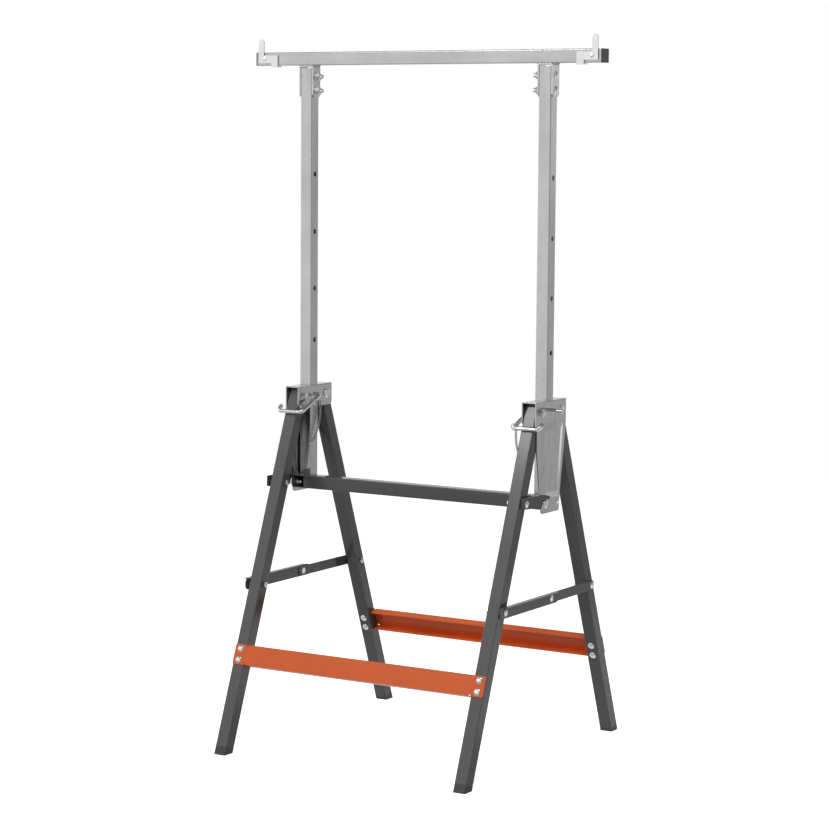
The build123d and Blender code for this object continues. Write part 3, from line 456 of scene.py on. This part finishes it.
def hang_chain(hand_name, hand):
    """Ring on the pin's arm and the chain that hangs from it to the bracket's eye."""
    share, bottom_y, bottom_z = HANGS[hand_name]
    pin_low, pin_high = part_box(f"pin_{hand_name}")
    box_low, box_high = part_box(f"chain_{hand_name}")
    arm_x = min(abs(pin_low.x), abs(pin_high.x)) + PIN_DIAMETER / 2
    rest_y = pin_low.y + PIN_DIAMETER / 2
    rest_z = pin_low.z + PIN_DIAMETER / 2
    arm = Vector((0, rest_y, rest_z - PIN_Z)).normalized()
    below = Vector((0, -arm.z, arm.y))
    on_arm = Vector((hand * arm_x, rest_y * share, PIN_Z + (rest_z - PIN_Z) * share))
    ring_radius = (RING_DIAMETER - RING_WIRE) / 2
    centre = on_arm + below * (ring_radius - RING_WIRE / 2 - PIN_DIAMETER / 2 - RING_SLACK)
    turns = []
    for step in range(97):
        angle = tau * step / 48
        aside = arm * (step / 96 - 0.5) * RING_WIRE * 0.56
        turns.append(centre + aside + ring_radius * (cos(angle) * Vector((1, 0, 0)) + sin(angle) * below))
    ring = lay(f"chain_ring_{hand_name}", *round_wire(turns, RING_WIRE * 0.27, 10, closed=False), chain_zinc)
    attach(ring, f"pin_{hand_name}")
    hook_in = LINK_LENGTH / 2 - WIRE - LINK_SLACK / 2
    top = centre + below * ring_radius - Vector((0, 0, hook_in - RING_WIRE / 2))
    anchor_x = box_low.x if hand < 0 else box_high.x
    anchor_x -= hand * LINK_WIDTH / 2
    end = Vector((anchor_x, ANCHOR.y, ANCHOR.z - ANCHOR_RADIUS - hook_in + LINK_SLACK))
    bottom = Vector(((top.x + end.x) / 2, bottom_y, bottom_z))
    line = sag(top, bottom, end)
    pitch = LINK_LENGTH - 2 * WIRE - LINK_SLACK
    count = 2 * round(along_line(line, 1.0)[2] / pitch / 2)
    side_dir = Vector((0, 0, 1)).cross(end - top).normalized()
    points, faces = [], []
    for index in range(count + 1):
        spot, along, _ = along_line(line, index / count)
        across = side_dir - along * side_dir.dot(along)
        across.normalize()
        if index % 2 == 0:
            across = along.cross(across)
        link_points, link_faces = round_wire(link_path(spot, along, across), WIRE / 2, 10)
        first = len(points)
        points += link_points
        faces += [tuple(first + corner for corner in face) for face in link_faces]
    chain = lay(f"chain_links_{hand_name}", points, faces, chain_zinc)
    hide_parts(f"chain_{hand_name}")
    run = end - bottom
    slope = Vector((0, -run.z, run.y)).normalized()
    reach = (top - bottom).dot(slope)
    bottom + slope * reach
    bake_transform(chain)


for hand_name, hand in HANDS.items():
    hang_chain(hand_name, hand)

CAMERA_PLACE = Vector((2.454, -4.076, 1.140))
CAMERA_TARGET = Vector((-0.0199, 0, 0.6244))
CAMERA_ROLL = radians(0.434)
FOCAL_PIXELS = 2553.3
PICTURE_PIXELS = 828
SENSOR = 36.0


def aim(place, target, roll=0.0):
    """World matrix that looks from a place to a target."""
    back = (place - target).normalized()
    level = Vector((0, 0, 1)).cross(back).normalized()
    upright = back.cross(level)
    right = cos(roll) * level + sin(roll) * upright
    up = -sin(roll) * level + cos(roll) * upright
    matrix = Matrix((right, up, back)).transposed().to_4x4()
    matrix.translation = place
    return matrix


camera_data = bpy.data.cameras.new("camera")
camera_data.sensor_fit = "HORIZONTAL"
camera_data.sensor_width = SENSOR
camera_data.lens = FOCAL_PIXELS / PICTURE_PIXELS * SENSOR
camera = bpy.data.objects.new("camera", camera_data)
camera.matrix_world = aim(CAMERA_PLACE, CAMERA_TARGET, CAMERA_ROLL)
bpy.context.scene.collection.objects.link(camera)
bpy.context.scene.camera = camera


def softbox(name, place, target, size, watts, mirrored):
    """Square area lamp that faces a target; mirrored lamps show in metal and paint."""
    lamp = bpy.data.lights.new(name, "AREA")
    lamp.size = size
    lamp.energy = watts
    holder = bpy.data.objects.new(name, lamp)
    holder.matrix_world = aim(Vector(place), Vector(target))
    holder.visible_glossy = mirrored
    holder.visible_camera = False
    bpy.context.scene.collection.objects.link(holder)


softbox("key", (1.0, -1.9, 3.3), (0, 0, 0.7), 1.6, 66.0, False)
softbox("front_fill", (-1.6, -3.2, 1.6), (0, 0, 0.8), 1.6, 12.0, False)
softbox("overhead_card", (0.5, -1.1, 3.0), (0, 0, 0.7), 1.1, 8.0, True)
softbox("leg_softbox", (-1.15, -2.25, 2.36), (0.26, 0, 0.6), 0.62, 9.0, True)
softbox("side_card", (1.55, 1.71, 1.42), (0.27, 0, 1.1), 0.8, 0.7, True)


def studio_level(finish, way):
    """Brightness that metal and paint mirror from a direction."""
    parts = finish.node("ShaderNodeSeparateXYZ", values={0: way})
    east = Signal(finish, parts.socket.node.outputs[0])
    north = Signal(finish, parts.socket.node.outputs[1])
    up = Signal(finish, parts.socket.node.outputs[2])
    west = finish.band(east * -1.0, -0.46, -0.20)
    behind = finish.band(north, 0.0, 0.5)
    front = finish.band(north * -1.0, 0.3, 0.8)
    high = finish.band(up, -0.04, 0.34)
    ceiling = finish.band(up, 0.55, 0.80)
    level = west * 0.64 + 0.48 - front * 0.22
    return level * (1 - high * behind * 0.62) * (1 - ceiling * 0.65)


def make_world():
    """White behind the object; paler on the left than on the right for what the metal mirrors."""
    world = bpy.data.worlds.new("studio")
    bpy.context.scene.world = world
    world.use_nodes = True
    sky = Finish(world.node_tree)
    path = sky.node("ShaderNodeLightPath", output="Is Camera Ray")
    glossy = Signal(sky, path.socket.node.outputs["Is Glossy Ray"])
    way = sky.node("ShaderNodeTexCoord", output="Generated")
    level = glossy * studio_level(sky, way) + (1 - glossy) * 0.26
    strength = path + (1 - path) * level
    back = sky.node("ShaderNodeBackground", values={"Color": (1, 1, 1, 1), "Strength": strength})
    sky.node("ShaderNodeOutputWorld", values={"Surface": back})


def make_floor():
    """Round pale floor: white to the camera, with the object's soft shadow."""
    radius = 4.0
    rim = [Vector((radius * cos(tau * step / 96), radius * sin(tau * step / 96), FLOOR_Z)) for step in range(96)]
    made, ground = material("pale_floor")
    path = ground.node("ShaderNodeLightPath", output="Is Camera Ray")
    glossy = Signal(ground, path.socket.node.outputs["Is Glossy Ray"])
    shown = ground.node("ShaderNodeBsdfDiffuse", values={"Color": (0.80, 0.80, 0.80, 1)})
    lift = ground.node("ShaderNodeEmission", values={"Color": (1, 1, 1, 1), "Strength": 0.85})
    seen = ground.node("ShaderNodeAddShader", values={0: shown, 1: lift})
    bounce = ground.node("ShaderNodeBsdfDiffuse", values={"Color": (0.40, 0.40, 0.40, 1)})
    spot = ground.node("ShaderNodeSeparateXYZ", values={0: ground.node("ShaderNodeTexCoord", output="Object")})
    north = Signal(ground, spot.socket.node.outputs[1])
    near = ground.band(north, -0.1, 0.3) - ground.band(north, 0.9, 2.0)
    dim = ground.node("ShaderNodeEmission", values={"Color": (1, 1, 1, 1), "Strength": 0.46})
    bright = ground.node("ShaderNodeEmission", values={"Color": (1, 1, 1, 1), "Strength": 0.91})
    mirror = ground.node("ShaderNodeMixShader", values={0: near, 1: dim, 2: bright})
    unseen = ground.node("ShaderNodeMixShader", values={0: glossy, 1: bounce, 2: mirror})
    mixed = ground.node("ShaderNodeMixShader", values={0: path, 1: unseen, 2: seen})
    ground.node("ShaderNodeOutputMaterial", values={"Surface": mixed})
    floor = lay("floor", rim, [tuple(range(96))], made, smooth=False)


make_world()
make_floor()
bpy.context.scene.view_settings.view_transform = "Standard"
